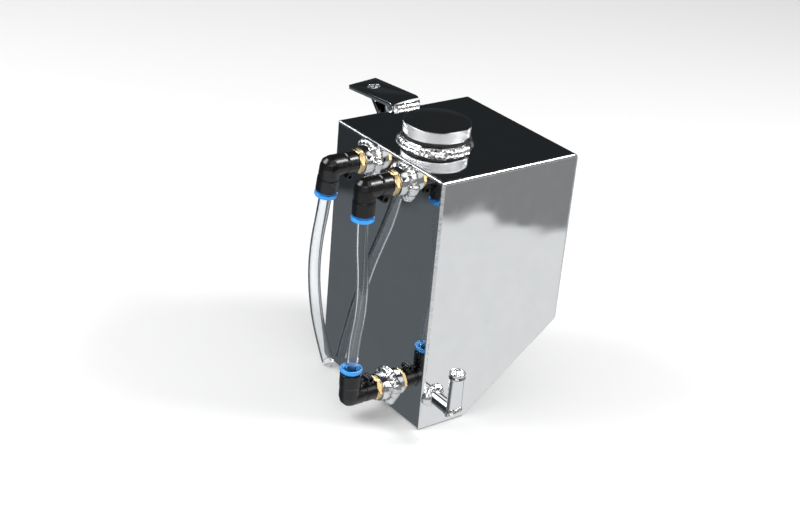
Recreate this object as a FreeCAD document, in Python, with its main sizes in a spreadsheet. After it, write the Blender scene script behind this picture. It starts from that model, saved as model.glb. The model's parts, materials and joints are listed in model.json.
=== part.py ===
"""Welded aluminium fluid reservoir with sight tube, overflow tube and bracket.

The frame's origin is the middle of the hole in the mounting bracket. +Z is up,
the fittings are on the front (-Y), the bracket is on the left (-X) and the
outlet pipe is on the right (+X). Millimetres and degrees throughout.
"""
import FreeCAD, Part
import math
import os

import Sketcher

Vector = FreeCAD.Vector

# How far an arc of a tube's route reaches along the shorter of its two runs.
ARC_SHARE = 0.45
# Side of the blocks that trim the outlet pipe's mitre, larger than the pipe.
BLOCK = 200

# name, value, what it measures
SIZES = (
    ("tank_width", 110.0, "left to right, outside"),
    ("tank_depth", 106.5, "front to back, outside"),
    ("tank_height", 170.0, "bottom to top, outside"),
    ("back_corner_height", 53.5, "bottom to where the slanted panel meets the back"),
    ("bottom_depth", 36.5, "front to where the slanted panel meets the bottom"),
    ("wall", 2.0, "thickness of the sheet"),
    ("bend_radius", 3.5, "outside of the wrapped sheet's bends"),
    ("seam_round", 1.5, "rounding of the dressed welds along the edges"),
    ("fit_gap", 0.05, "all round, between a piece and the hole it sits in"),
    ("neck_x", 55.0, "filler neck's axis from the left side"),
    ("neck_y", 36.0, "filler neck's axis from the front"),
    ("neck_radius", 21.0, "outside of the filler neck"),
    ("neck_wall", 3.6, "wall of the filler neck"),
    ("neck_proud", 3.0, "height of the neck above the tank"),
    ("neck_depth", 8.0, "length of the neck below the top panel"),
    ("neck_weld_leg", 2.9, "size of the weld round the neck"),
    ("weld_shoulder_out", 0.78, "share of its leg that a weld's crown stands out"),
    ("weld_shoulder_up", 0.55, "share of its leg that a weld's crown stands up"),
    ("cap_overhang", 0.3, "how far the knurled rim stands out past the neck"),
    ("cap_rim_height", 8.0, "height of the knurled rim"),
    ("cap_dome_rise", 2.2, "height of the smooth top above the rim"),
    ("cap_shoulder_in", 1.5, "from the rim's edge in to the dome's shoulder"),
    ("cap_shoulder_rise", 0.8, "dome's shoulder, above the rim"),
    ("cap_crown_in", 8.5, "from the rim's edge in to the dome's crown"),
    ("cap_crown_rise", 1.9, "dome's crown, above the rim"),
    ("cap_spigot_length", 11.5, "threaded length below the cap's shoulder"),
    ("cap_wall", 3.32, "wall of the cap's spigot"),
    ("cap_top_thickness", 4.0, "metal between the hollow and the rim's top"),
    ("thread_clearance", 0.08, "radial, between the cap's spigot and the neck"),
    ("gasket_thickness", 2.8, "height of the cap's gasket"),
    ("gasket_inset", 1.0, "how far the gasket is inside the neck's edge"),
    ("gasket_gap", 0.4, "radial, between the gasket and the cap's spigot"),
    ("overflow_x", 36.7, "overflow fitting's axis from the left side"),
    ("sight_x", 73.4, "sight fittings' axis from the left side"),
    ("upper_drop", 12.0, "upper fittings' axis below the top"),
    ("lower_rise", 14.5, "lower fitting's axis above the bottom"),
    ("overflow_lean", 9.0, "how far the overflow elbow is swung outwards"),
    ("bung_shoulder", 2.0, "how far a bung stands out past its spigot"),
    ("bung_proud", 8.4, "height of a bung on the front"),
    ("bung_wall", 2.14, "wall of a bung round its thread"),
    ("bung_inner_length", 2.5, "length of the bung behind the panel"),
    ("bung_weld_leg", 2.8, "size of the weld round a bung"),
    ("thread_radius", 4.86, "stem's thread, G1/8"),
    ("thread_gap", 0.05, "radial, between a stem's thread and its bung"),
    ("hex_flats", 14.0, "across the flats of a stem's hexagon"),
    ("hex_height", 3.3, "thickness of a stem's hexagon"),
    ("stem_spigot_radius", 4.6, "part of the stem in the elbow"),
    ("stem_spigot_length", 11.0, "length of that part"),
    ("stem_bore_radius", 2.4, "passage through the stem"),
    ("swivel_clearance", 0.06, "radial, between the stem and the elbow"),
    ("swivel_groove_start", 5.0, "from the hexagon to the swivel seal's groove"),
    ("swivel_groove_width", 1.4, "width of that groove"),
    ("swivel_seal_section", 1.0, "section of the swivel seal"),
    ("seal_gap", 0.03, "between a seal and what is round it"),
    ("elbow_gap", 0.3, "between the hexagon and the elbow"),
    ("barrel_run", 17.2, "from the start of the elbow's barrel to its leg"),
    ("barrel_wall", 2.14, "wall of the elbow's barrel"),
    ("elbow_groove_depth", 0.6, "ring groove round the barrel"),
    ("elbow_groove_width", 0.9, "width of that groove"),
    ("elbow_groove_from_leg", 9.2, "from the leg's axis to that groove"),
    ("leg_wall", 1.55, "wall of the leg round the grip"),
    ("leg_step", 7.6, "from the barrel's axis to the leg's socket"),
    ("leg_length", 17.0, "from the barrel's axis to the leg's mouth"),
    ("flow_radius", 2.7, "passage inside the elbow"),
    ("tube_stop", 4.5, "from the barrel's axis to the end of the tube's seat"),
    ("tube_end_gap", 0.1, "between the tube and its seat, endways and radial"),
    ("socket_room", 1.55, "radial, between a tube and the leg's bore round the grip"),
    ("socket_start", 5.2, "from the barrel's axis to that bore"),
    ("grip_start", 7.6, "from the barrel's axis to the grip ring"),
    ("grip_thickness", 0.8, "thickness of the grip ring"),
    ("grip_gap", 0.05, "radial, between the grip ring and its neighbours"),
    ("collar_start", 9.8, "from the barrel's axis to the collar's inner end"),
    ("collar_gap", 1.3, "between the mouth and the collar's flange"),
    ("collar_flange", 2.3, "thickness of the collar's flange"),
    ("collar_overhang", 0.15, "how far the collar's flange stands out past the leg"),
    ("sleeve_gap", 0.15, "radial, between the collar's sleeve and the leg's bore"),
    ("collar_clearance", 0.15, "radial, between a tube and its collar"),
    ("eyelet_radius", 2.5, "outside of the elbow's eyelet"),
    ("eyelet_hole_radius", 1.3, "hole of the eyelet"),
    ("eyelet_length", 7.0, "length of the eyelet"),
    ("eyelet_from_leg", 13.6, "from the leg's axis to the eyelet"),
    ("eyelet_drop", 8.9, "from the barrel's axis to the eyelet"),
    ("tube_radius", 4.0, "outside of both clear tubes"),
    ("tube_wall", 1.0, "wall of both clear tubes"),
    ("overflow_straight", 30.9, "from a barrel's axis to where the overflow tube bends"),
    ("sight_straight", 34.0, "from a barrel's axis to the end of the tube's straight run"),
    ("sight_bow", 5.0, "how far the sight tube bows to the right"),
    ("outlet_y", 8.0, "outlet pipe's axis from the front"),
    ("outlet_z", 23.5, "outlet pipe's axis above the bottom"),
    ("outlet_reach", 21.8, "from the right side to the upright's axis"),
    ("outlet_height", 28.5, "from the stub's axis to the upright's top"),
    ("pipe_radius", 4.65, "outside of the outlet pipe"),
    ("pipe_wall", 1.15, "wall of the outlet pipe"),
    ("pipe_inner_length", 1.5, "length of the stub behind the panel"),
    ("bead_swell", 0.65, "how far the bead at the upright's end stands out"),
    ("bead_height", 3.0, "height of the bead"),
    ("bead_chamfer", 0.4, "chamfer round the upright's mouth"),
    ("outlet_weld_leg", 3.3, "size of the weld at the stub's root"),
    ("mitre_weld_height", 0.7, "height of the weld on the mitre"),
    ("mitre_weld_width", 2.0, "width of the weld on the mitre"),
    ("bracket_reach", 37.2, "from the side to the bracket's hole, along the plate"),
    ("bracket_end", 13.6, "from the hole to the bracket's outer end"),
    ("bracket_width", 22.0, "front to back"),
    ("bracket_y", 53.5, "middle of the bracket from the front"),
    ("bracket_thickness", 3.0, "thickness of the bracket's plate"),
    ("bracket_rise", 4.6, "top of the bracket above the tank, at the side"),
    ("bracket_flange", 26.0, "height of the flange against the side"),
    ("bracket_bend", 1.2, "inside radius of the bracket's bend"),
    ("bracket_droop", 4.5, "how far the plate is bent below level"),
    ("bracket_roll", 5.0, "how far the bracket is turned on the side"),
    ("bracket_hole_radius", 4.4, "hole in the bracket"),
    ("bracket_weld_leg", 3.0, "size of the weld along the bracket"),
    ("brace_run", 27.0, "from the side to the brace's upper end"),
    ("brace_drop", 37.0, "from the plate to the brace's lower end"),
    ("brace_thickness", 2.5, "thickness of the brace"),
    ("brace_inset", 1.0, "how far the brace is narrower at each edge"),
    ("weld_inset", 2.0, "how far the bracket's weld stops short of each edge"),
    ("brace_weld_leg", 2.2, "size of the welds on the brace"),
)

# Sizes that follow from the ones above: name, formula, what it measures
DERIVED = (
    ("neck_bore_radius", "neck_radius - neck_wall", "inside of the filler neck"),
    ("gasket_radius", "neck_radius - gasket_inset", "outside of the cap's gasket"),
    ("cap_radius", "neck_radius + cap_overhang", "over the knurled rim"),
    ("cap_shoulder_radius", "cap_radius - cap_shoulder_in", "dome's shoulder"),
    ("cap_crown_radius", "cap_radius - cap_crown_in", "dome's crown"),
    ("cap_hollow_radius", "neck_bore_radius - thread_clearance - cap_wall",
     "inside of the cap's hollow"),
    ("bung_spigot_radius", "thread_radius + bung_wall", "part of the bung in the panel"),
    ("bung_radius", "bung_spigot_radius + bung_shoulder", "outside of a welded bung"),
    ("elbow_radius", "stem_spigot_radius + swivel_clearance + barrel_wall",
     "outside of the elbow's barrel"),
    ("elbow_reach", "bung_proud + hex_height + elbow_gap + barrel_run",
     "from the tank's front to the elbow's leg"),
    ("socket_radius", "tube_radius + socket_room", "bore of the leg round the grip"),
    ("leg_radius", "socket_radius + leg_wall", "outside of the leg's socket"),
    ("collar_radius", "leg_radius + collar_overhang", "outside of the collar's flange"),
    ("collar_sleeve_radius", "socket_radius - sleeve_gap", "outside of the collar's sleeve"),
    ("collar_bore_radius", "tube_radius + collar_clearance", "inside of the collar"),
    ("seal_section", "socket_room - 2 * seal_gap", "section of the seal on a tube"),
    ("tube_bore_radius", "tube_radius - tube_wall", "inside of both clear tubes"),
    ("pipe_bore_radius", "pipe_radius - pipe_wall", "inside of the outlet pipe"),
    ("bead_radius", "pipe_radius + bead_swell", "over the bead at the upright's end"),
)

# Route of the overflow tube, from the end of its straight run below the elbow:
# it hangs in one slow curve towards the tank.
OVERFLOW_HANG = (
    (-7.2, 1.5, -24.5),
    (-13.8, 5.2, -49.0),
    (-17.9, 10.3, -74.0),
    (-19.3, 16.4, -99.5),
    (-17.6, 23.6, -124.5),
)

doc = FreeCAD.newDocument("reservoir")
sheet = doc.addObject("Spreadsheet::Sheet", "Sizes")
for row, (alias, value, meaning) in enumerate(SIZES + DERIVED, start=1):
    sheet.set(f"A{row}", alias)
    sheet.set(f"B{row}", f"={value}")
    sheet.set(f"C{row}", meaning)
    sheet.setAlias(f"B{row}", alias)
doc.recompute()

nodes = []


# ---------------------------------------------------------------- expressions

def named(text):
    """The expression with every size's name pointing into the sheet."""
    words = {alias for alias, _, _ in SIZES + DERIVED}
    out, word = [], ""
    for letter in text + " ":
        if letter.isalnum() or letter == "_":
            word += letter
            continue
        out.append(f"Sizes.{word}" if word in words else word)
        out.append(letter)
        word = ""
    return "".join(out).strip()


def number(text):
    """What an expression is worth now."""
    value = sheet.evalExpression(named(str(text)))
    return float(getattr(value, "Value", value))


def bind(thing, name, text):
    thing.setExpression(name, named(str(text)))


def vector(x, y, z):
    return f"vector({x}; {y}; {z})"


def at(x=0, y=0, z=0, axis=(0, 0, 1), angle=0):
    """A placement, as an expression."""
    return f"placement({vector(x, y, z)}; rotation({vector(*axis)}; {angle}))"


def place(thing, *steps):
    """Puts a thing in the tank's frame, through a chain of placements."""
    bind(thing, "Placement", " * ".join(("tank_corner.Placement",) + steps))


def keep(thing, label):
    """Marks a finished sub-part and gives it the name of its file."""
    thing.Label = label
    nodes.append(thing)
    return thing


# --------------------------------------------------------------- construction

def pin_point(sketch, index, end, place_xy):
    """Ties a point of a sketch to the sketch's origin on both axes."""
    for kind, text in zip(("DistanceX", "DistanceY"), place_xy):
        rule = Sketcher.Constraint(kind, -1, 1, index, end, number(text))
        bind(sketch, f"Constraints[{sketch.addConstraint(rule)}]", text)


def outline(body, name, plane, corners, holes=()):
    """A closed sketch through corners given as expressions, with round holes."""
    sketch = body.newObject("Sketcher::SketchObject", name)
    support = [item for item in body.Origin.OriginFeatures if item.Role == plane]
    sketch.AttachmentSupport = [(support[0], "")]
    sketch.MapMode = "FlatFace"
    points = [Vector(number(x), number(y), 0) for x, y in corners]
    count = len(points)
    for index in range(count):
        line = Part.LineSegment(points[index], points[(index + 1) % count])
        sketch.addGeometry(line, False)
    for index in range(count):
        following = (index + 1) % count
        sketch.addConstraint(Sketcher.Constraint("Coincident", index, 2, following, 1))
        pin_point(sketch, index, 1, corners[index])
    for x, y, radius in holes:
        circle = Part.Circle(Vector(number(x), number(y), 0), Vector(0, 0, 1), number(radius))
        index = sketch.addGeometry(circle, False)
        if (str(x), str(y)) == ("0", "0"):
            sketch.addConstraint(Sketcher.Constraint("Coincident", index, 3, -1, 1))
        else:
            pin_point(sketch, index, 3, (x, y))
        rule = Sketcher.Constraint("Radius", index, number(radius))
        bind(sketch, f"Constraints[{sketch.addConstraint(rule)}]", radius)
    doc.recompute()
    return sketch


def plate(label, plane, corners, thickness, holes=()):
    """A body made by padding one outline."""
    body = doc.addObject("PartDesign::Body", label)
    sketch = outline(body, label + "_outline", plane, corners, holes)
    pad = body.newObject("PartDesign::Pad", label + "_pad")
    pad.Profile = sketch
    bind(pad, "Length", thickness)
    doc.recompute()
    return body


def turned(label, profile):
    """A body turned about its own Z from a profile of (radius, height)."""
    body = doc.addObject("PartDesign::Body", label)
    sketch = outline(body, label + "_profile", "XZ_Plane", profile)
    turn = body.newObject("PartDesign::Revolution", label + "_turn")
    turn.Profile = sketch
    turn.ReferenceAxis = (sketch, ["V_Axis"])
    turn.Angle = 360
    doc.recompute()
    return body


def round_edges(body, name, radius, wanted):
    """Fillets the edges of a body's last feature that wanted() picks."""
    base = body.Tip
    edges = [f"Edge{index}" for index, edge in enumerate(base.Shape.Edges, start=1)
             if wanted(edge)]
    fillet = body.newObject("PartDesign::Fillet", name)
    fillet.Base = (base, edges)
    bind(fillet, "Radius", radius)
    doc.recompute()
    return fillet


def cylinder(name, radius, length, start=None):
    thing = doc.addObject("Part::Cylinder", name)
    bind(thing, "Radius", radius)
    bind(thing, "Height", length)
    if start:
        bind(thing, "Placement", start)
    return thing


def box(name, sides, start):
    thing = doc.addObject("Part::Box", name)
    for side, text in zip(("Length", "Width", "Height"), sides):
        bind(thing, side, text)
    bind(thing, "Placement", start)
    return thing


def fuse(name, pieces):
    thing = doc.addObject("Part::MultiFuse", name)
    thing.Shapes = pieces
    return thing


def cut(name, base, tool):
    thing = doc.addObject("Part::Cut", name)
    thing.Base = base
    thing.Tool = tool
    return thing


def common(name, pieces):
    thing = doc.addObject("Part::MultiCommon", name)
    thing.Shapes = pieces
    return thing


def same(value, wanted, slack=0.01):
    return abs(value - wanted) < slack


def weld_ring(label, inside, leg):
    """A weld bead round something, standing on the plane at height 0."""
    return turned(label, (
        (inside, "0"), (f"{inside} + {leg}", "0"),
        (f"{inside} + {leg} * weld_shoulder_out", f"{leg} * weld_shoulder_up"),
        (inside, leg)))


def runs_along(edge, axis):
    """Whether an edge is a straight one along X, Y or Z."""
    if edge.Curve.TypeId != "Part::GeomLine":
        return False
    return same(abs(getattr(edge.Curve.Direction, axis)), 1)


# -------------------------------------------------------------- tank's frame

# The bracket's inner top corner lies on the tank's left side. The hole is the
# origin, so the tank's front left bottom corner follows from the bracket.
BRACKET_TURN = ("rotation(vector(1; 0; 0); bracket_roll)"
                " * rotation(vector(0; 1; 0); -bracket_droop)")
tank_corner = doc.addObject("App::Placement", "tank_corner")
bind(tank_corner, "Placement",
     f"placement({BRACKET_TURN} * vector(bracket_reach; 0; bracket_thickness / 2)"
     " - vector(0; bracket_y; tank_height + bracket_rise);"
     " rotation(vector(0; 0; 1); 0))")
doc.recompute()


# ---------------------------------------------------------------- tank shell

SLANT = "atan((back_corner_height) / (tank_depth - bottom_depth))"


def tank_outline(inset):
    """Corners of the tank's side view (y, z), a distance inside the outside."""
    return (
        (inset, inset),
        (f"bottom_depth - {inset} * tan({SLANT} / 2)", inset),
        (f"tank_depth - {inset}",
         f"back_corner_height + {inset} * tan((90 deg - {SLANT}) / 2)"),
        (f"tank_depth - {inset}", f"tank_height - {inset}"),
        (inset, f"tank_height - {inset}"),
    )


def bend_edge(edge):
    """An edge along X at one of the three bends of the wrapped sheet."""
    if not runs_along(edge, "x"):
        return False
    middle = edge.CenterOfMass
    return middle.y > number("wall") + 1 and same(edge.Length, number("tank_width - 2 * wall"))


def outer_bend(edge):
    corners = [(number(y), number(z)) for y, z in tank_outline("0")]
    middle = edge.CenterOfMass
    return bend_edge(edge) and any(
        same(middle.y, y) and same(middle.z, z) for y, z in corners[1:4])


def inner_bend(edge):
    corners = [(number(y), number(z)) for y, z in tank_outline("wall")]
    middle = edge.CenterOfMass
    return bend_edge(edge) and any(
        same(middle.y, y) and same(middle.z, z) for y, z in corners[1:4])


def make_wrap():
    """One sheet bent into the bottom, slanted panel, back and top."""
    outside = tank_outline("0")
    inside = tank_outline("wall")
    corners = (
        ("wall", "0"), outside[1], outside[2], outside[3], ("wall", "tank_height"),
        ("wall", inside[4][1]), inside[3], inside[2], inside[1], ("wall", "wall"),
    )
    body = plate("wrap_sheet", "YZ_Plane", corners, "tank_width - 2 * wall")
    round_edges(body, "wrap_outer_bends", "bend_radius", outer_bend)
    round_edges(body, "wrap_inner_bends", "bend_radius - wall", inner_bend)
    hole = cylinder("neck_hole", "neck_radius + fit_gap", "3 * wall",
                    at("neck_x - wall", "neck_y", "tank_height - 2 * wall"))
    wrap = cut("wrap_with_hole", body, hole)
    place(wrap, at("wall"))
    keep(wrap, "tank_wrap")


def make_front():
    holes = [(x, z, "bung_spigot_radius + fit_gap") for x, z in FITTING_PLACES.values()]
    body = plate("front_plate", "XZ_Plane",
                 (("wall", "wall"), ("tank_width - wall", "wall"),
                  ("tank_width - wall", "tank_height - wall"),
                  ("wall", "tank_height - wall")), "wall", holes)
    place(body, at(y="wall"))
    keep(body, "front_plate")


def upright_bend(edge):
    """An edge along X of a side plate or seam, at one of the bends."""
    return runs_along(edge, "x") and edge.CenterOfMass.y > number("wall") + 1


def make_side(side, foot, outer_face):
    """A side plate and the dressed weld round it."""
    holes = [("outlet_y", "outlet_z", "pipe_radius + fit_gap")] if side == "right" else []
    panel = plate(f"{side}_side_plate", "YZ_Plane", tank_outline("wall"), "wall", holes)
    round_edges(panel, f"{side}_plate_bends", "bend_radius - wall", upright_bend)
    place(panel, at(foot))
    keep(panel, f"{side}_side_plate")

    seam = plate(f"{side}_seam_slab", "YZ_Plane", tank_outline("0"), "wall")
    round_edges(seam, f"{side}_seam_bends", "bend_radius", upright_bend)
    round_edges(seam, f"{side}_seam_dressing", "seam_round",
                lambda edge: same(edge.CenterOfMass.x, number(outer_face)))
    inner = plate(f"{side}_seam_core", "YZ_Plane", tank_outline("wall"), "wall")
    round_edges(inner, f"{side}_core_bends", "bend_radius - wall", upright_bend)
    ring = cut(f"{side}_seam_ring", seam, inner)
    place(ring, at(foot))
    keep(ring, f"{side}_seam_weld")


def make_front_seams():
    """Dressed welds along the front's top and bottom edges."""
    for name, foot in (("upper", "tank_height - wall"), ("lower", "0")):
        bar = plate(f"front_{name}_seam_weld", "YZ_Plane",
                    (("0", "0"), ("wall", "0"), ("wall", "wall"), ("0", "wall")),
                    "tank_width - 2 * wall")
        outer_height = number("wall") if name == "upper" else 0
        round_edges(bar, f"front_{name}_dressing", "seam_round",
                    lambda edge, height=outer_height: runs_along(edge, "x")
                    and same(edge.CenterOfMass.y, 0) and same(edge.CenterOfMass.z, height))
        place(bar, at("wall", 0, foot))
        keep(bar, f"front_{name}_seam_weld")


# ------------------------------------------------------------- filler and cap

def make_filler():
    """Neck, weld, gasket and cap, each turned about the neck's axis."""
    where = at("neck_x", "neck_y", "tank_height")
    neck = turned("filler_neck", (
        ("neck_bore_radius", "-wall - neck_depth"), ("neck_radius", "-wall - neck_depth"),
        ("neck_radius", "neck_proud"), ("neck_bore_radius", "neck_proud")))
    weld = weld_ring("filler_neck_weld", "neck_radius", "neck_weld_leg")
    spigot = "neck_bore_radius - thread_clearance"
    gasket = turned("cap_gasket", (
        (f"{spigot} + gasket_gap", "neck_proud"), ("gasket_radius", "neck_proud"),
        ("gasket_radius", "neck_proud + gasket_thickness"),
        (f"{spigot} + gasket_gap", "neck_proud + gasket_thickness")))
    shoulder = "neck_proud + gasket_thickness"
    rim_top = f"{shoulder} + cap_rim_height"
    cap = turned("filler_cap", (
        ("0", f"{rim_top} - cap_top_thickness"),
        ("cap_hollow_radius", f"{rim_top} - cap_top_thickness"),
        ("cap_hollow_radius", f"{shoulder} - cap_spigot_length"),
        (spigot, f"{shoulder} - cap_spigot_length"), (spigot, shoulder),
        ("cap_radius", shoulder), ("cap_radius", rim_top),
        ("cap_shoulder_radius", f"{rim_top} + cap_shoulder_rise"),
        ("cap_crown_radius", f"{rim_top} + cap_crown_rise"),
        ("0", f"{rim_top} + cap_dome_rise")))
    for body in (neck, weld, gasket, cap):
        place(body, where)
        keep(body, body.Label)


# ------------------------------------------------------------------- fittings

FITTING_PLACES = {
    "overflow": ("overflow_x", "tank_height - upper_drop"),
    "upper_sight": ("sight_x", "tank_height - upper_drop"),
    "lower_sight": ("sight_x", "lower_rise"),
}
FITTING_TURNS = {"overflow": "overflow_lean", "upper_sight": "0", "lower_sight": "180"}
OUTWARDS = at(axis=(1, 0, 0), angle=90)      # heights run out of the tank's front
HEX_START = "bung_proud"
HEX_END = f"{HEX_START} + hex_height"
ELBOW_BORE = "stem_spigot_radius + swivel_clearance"


def make_bung(prefix, where):
    """A bung through the front plate and the weld round it."""
    bore = "thread_radius + thread_gap"
    bung = turned(f"{prefix}_bung", (
        (bore, "-wall - bung_inner_length"), ("bung_spigot_radius", "-wall - bung_inner_length"),
        ("bung_spigot_radius", "0"), ("bung_radius", "0"), ("bung_radius", "bung_proud"),
        (bore, "bung_proud")))
    weld = weld_ring(f"{prefix}_bung_weld", "bung_radius", "bung_weld_leg")
    for body in (bung, weld):
        place(body, where, OUTWARDS)
        keep(body, body.Label)


def make_stem(prefix, where):
    """The brass stem that screws into the bung and carries the elbow."""
    end = f"{HEX_END} + stem_spigot_length"
    groove = f"{HEX_END} + swivel_groove_start"
    floor = f"{ELBOW_BORE} - swivel_seal_section - 2 * seal_gap"
    barrel = turned(f"{prefix}_stem_barrel", (
        ("stem_bore_radius", "-wall - bung_inner_length"),
        ("thread_radius", "-wall - bung_inner_length"), ("thread_radius", HEX_END),
        ("stem_spigot_radius", HEX_END), ("stem_spigot_radius", groove), (floor, groove),
        (floor, f"{groove} + swivel_groove_width"),
        ("stem_spigot_radius", f"{groove} + swivel_groove_width"),
        ("stem_spigot_radius", end), ("stem_bore_radius", end)))
    hexagon = doc.addObject("Part::Prism", f"{prefix}_hexagon")
    hexagon.Polygon = 6
    bind(hexagon, "Circumradius", "hex_flats / 2 / cos(30)")
    bind(hexagon, "Height", "hex_height")
    bind(hexagon, "Placement", at(z=HEX_START))
    passage = cylinder(f"{prefix}_hex_bore", "(stem_bore_radius + thread_radius) / 2",
                       "hex_height", at(z=HEX_START))
    ring = cut(f"{prefix}_hex_ring", hexagon, passage)
    stem = fuse(f"{prefix}_stem_whole", [barrel, ring])
    place(stem, where, OUTWARDS)
    keep(stem, f"{prefix}_stem")

    seal = doc.addObject("Part::Torus", f"{prefix}_swivel_seal")
    bind(seal, "Radius1", f"{ELBOW_BORE} - seal_gap - swivel_seal_section / 2")
    bind(seal, "Radius2", "swivel_seal_section / 2")
    place(seal, where, at(y=f"-({groove} + swivel_groove_width / 2)"), OUTWARDS)
    keep(seal, f"{prefix}_swivel_seal")


def make_elbow(prefix, where, mouth):
    """The moulded elbow: barrel on the stem, leg with the tube's socket."""
    start = f"{HEX_END} + elbow_gap"
    outside = fuse(f"{prefix}_elbow_outside", [
        cylinder(f"{prefix}_barrel", "elbow_radius", f"elbow_reach - ({start})",
                 at(y=f"-({start})", axis=(1, 0, 0), angle=90)),
        corner_ball(prefix),
        cylinder(f"{prefix}_upper_leg", "elbow_radius", "leg_step", mouth),
        cylinder(f"{prefix}_leg", "leg_radius", "leg_length - leg_step",
                 f"{mouth} * {at(z='leg_step')}"),
        cylinder(f"{prefix}_eyelet", "eyelet_radius", "eyelet_length",
                 at("-eyelet_length / 2", "eyelet_from_leg - elbow_reach", "-eyelet_drop",
                    (0, 1, 0), 90)),
    ])
    groove_y = "elbow_groove_from_leg - elbow_reach"
    groove = cut(
        f"{prefix}_ring_groove",
        cylinder(f"{prefix}_groove_outside", "elbow_radius + elbow_groove_depth",
                 "elbow_groove_width", at(y=groove_y, axis=(1, 0, 0), angle=90)),
        cylinder(f"{prefix}_groove_floor", "elbow_radius - elbow_groove_depth",
                 "elbow_groove_width", at(y=groove_y, axis=(1, 0, 0), angle=90)))
    spigot_room = "stem_spigot_length"
    inside = fuse(f"{prefix}_elbow_inside", [
        cylinder(f"{prefix}_stem_socket", ELBOW_BORE, spigot_room,
                 at(y=f"-({start})", axis=(1, 0, 0), angle=90)),
        cylinder(f"{prefix}_cross_flow", "flow_radius", f"elbow_reach - ({start})",
                 at(y=f"-({start})", axis=(1, 0, 0), angle=90)),
        cylinder(f"{prefix}_down_flow", "flow_radius", "leg_length", mouth),
        cylinder(f"{prefix}_tube_seat", "tube_radius + tube_end_gap", "leg_length - tube_stop",
                 f"{mouth} * {at(z='tube_stop')}"),
        cylinder(f"{prefix}_socket", "socket_radius", "leg_length - socket_start",
                 f"{mouth} * {at(z='socket_start')}"),
        cylinder(f"{prefix}_eyelet_hole", "eyelet_hole_radius", "eyelet_length",
                 at("-eyelet_length / 2", "eyelet_from_leg - elbow_reach", "-eyelet_drop",
                    (0, 1, 0), 90)),
        groove,
    ])
    elbow = cut(f"{prefix}_elbow_whole", outside, inside)
    place(elbow, where)
    keep(elbow, f"{prefix}_elbow")


def corner_ball(prefix):
    ball = doc.addObject("Part::Sphere", f"{prefix}_corner")
    bind(ball, "Radius", "elbow_radius")
    bind(ball, "Placement", at(y="-elbow_reach"))
    return ball


def make_grip(prefix, where, mouth):
    """What holds a tube in the leg: release collar, grip ring and seal."""
    flange = "leg_length + collar_gap"
    collar = turned(f"{prefix}_collar", (
        ("collar_bore_radius", "collar_start"), ("collar_sleeve_radius", "collar_start"),
        ("collar_sleeve_radius", flange), ("collar_radius", flange),
        ("collar_radius", f"{flange} + collar_flange"),
        ("collar_bore_radius", f"{flange} + collar_flange")))
    ring = turned(f"{prefix}_grip_ring", (
        ("tube_radius + grip_gap", "grip_start"), ("socket_radius - grip_gap", "grip_start"),
        ("socket_radius - grip_gap", "grip_start + grip_thickness"),
        ("tube_radius + grip_gap", "grip_start + grip_thickness")))
    for body in (collar, ring):
        place(body, where, mouth)
        keep(body, body.Label)
    seal = doc.addObject("Part::Torus", f"{prefix}_tube_seal")
    bind(seal, "Radius1", "tube_radius + seal_gap + seal_section / 2")
    bind(seal, "Radius2", "seal_section / 2")
    place(seal, where, mouth, at(z="(socket_start + grip_start) / 2"))
    keep(seal, f"{prefix}_tube_seal")


def make_fittings():
    mouth = at(y="-elbow_reach", axis=(1, 0, 0), angle=180)   # heights run down the leg
    for prefix, (x, z) in FITTING_PLACES.items():
        make_bung(prefix, at(x, 0, z))
        where = at(x, 0, z, (0, 1, 0), FITTING_TURNS[prefix])
        make_stem(prefix, where)
        make_elbow(prefix, where, mouth)
        make_grip(prefix, where, mouth)


# ---------------------------------------------------------------------- tubes

def rounded_route(points):
    """Straight runs joined by tangent arcs, as a wire, and the arcs' radii."""
    edges, radii, start = [], [], points[0]
    for before, corner, after in zip(points, points[1:], points[2:]):
        incoming, outgoing = corner - before, after - corner
        half_turn = incoming.getAngle(outgoing) / 2
        cut_back = ARC_SHARE * min(incoming.Length, outgoing.Length)
        radius = cut_back / math.tan(half_turn)
        incoming.normalize()
        outgoing.normalize()
        bisector = (outgoing - incoming).normalize()
        arc_start = corner - incoming * cut_back
        arc_end = corner + outgoing * cut_back
        arc_middle = corner + bisector * radius * (1 / math.cos(half_turn) - 1)
        edges.append(Part.LineSegment(start, arc_start).toShape())
        edges.append(Part.Arc(arc_start, arc_middle, arc_end).toShape())
        radii.append(radius)
        start = arc_end
    edges.append(Part.LineSegment(start, points[-1]).toShape())
    return Part.Wire(edges), radii


def make_tube(label, points):
    """A clear tube along a route, given in the tank's frame."""
    corner = tank_corner.Placement
    wire, radii = rounded_route([corner.multVec(point) for point in points])
    first = wire.Edges[0]
    direction = first.tangentAt(first.FirstParameter)
    solids = []
    for radius in (number("tube_radius"), number("tube_bore_radius")):
        circle = Part.Wire(Part.makeCircle(radius, wire.Edges[0].Vertexes[0].Point, direction))
        solids.append(wire.makePipeShell([circle], True, False))
    tube = doc.addObject("Part::Feature", label)
    tube.Shape = solids[0].cut(solids[1])
    section = math.pi * (number("tube_radius") ** 2 - number("tube_bore_radius") ** 2)
    off = tube.Shape.Volume / (section * wire.Length) - 1
    print(f"{label}: {wire.Length:.1f} mm long, radii "
          f"{', '.join(f'{radius:.0f}' for radius in radii)} mm, volume off by {off:.5f}")
    keep(tube, label)


def fitting_point(prefix, down):
    """A point on an elbow's leg, a distance from the barrel's axis."""
    x, z = FITTING_PLACES[prefix]
    turn = FreeCAD.Rotation(Vector(0, 1, 0), number(FITTING_TURNS[prefix]))
    corner = Vector(number(x), 0, number(z))
    return corner + turn.multVec(Vector(0, -number("elbow_reach"), -down))


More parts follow.
